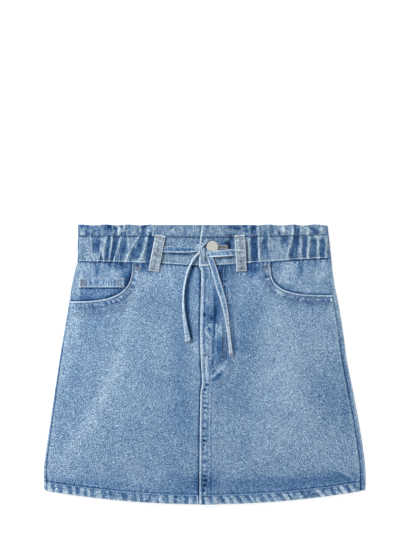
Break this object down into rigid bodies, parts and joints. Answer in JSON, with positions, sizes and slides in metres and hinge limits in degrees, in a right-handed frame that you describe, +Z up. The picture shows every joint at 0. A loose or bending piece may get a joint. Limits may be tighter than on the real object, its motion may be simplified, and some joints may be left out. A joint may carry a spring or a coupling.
{
  "type": "denim skirt",
  "caption": "Short flared denim skirt laid flat, with a gathered paperbag waist, curved pockets, a buttoned fly and a knotted tie.",
  "frame": {"origin": "middle of the laid skirt's outline, on the surface that its back lies on", "axes": "+X to the viewer's right across the hem, +Y towards the waist, +Z up out of the front"},
  "size_m": [0.4593, 0.399, 0.0133],
  "materials": {
    "denim_body": "light washed blue denim twill with a salt and pepper grain, pale at its edges",
    "denim_facing": "the same denim, less worn and darker in the shade of the pocket mouth",
    "denim_band": "the same denim, dark in its gathers and bleached on their ridges",
    "denim_loop": "paler and greyer denim, folded and stitched twice",
    "denim_tie": "narrow folded denim strip with bleached edges",
    "button_metal": "pale satin metal, warm grey"
  },
  "bodies": {
    "root": {"back_panel": "denim_body", "front_left": "denim_body", "front_right": "denim_body", "pocket_facing_left": "denim_facing", "pocket_facing_right": "denim_facing", "coin_pocket": "denim_facing", "waistband_elastic": "denim_band", "waistband_front_left": "denim_band", "waistband_front_right": "denim_band", "belt_loop_left": "denim_loop", "belt_loop_right": "denim_loop", "tie_left_held": "denim_tie", "tie_right_held": "denim_tie", "tie_knot": "denim_tie", "tie_left_end": "denim_tie", "tie_right_end": "denim_tie", "button": "button_metal"}
  },
  "joints": []
}
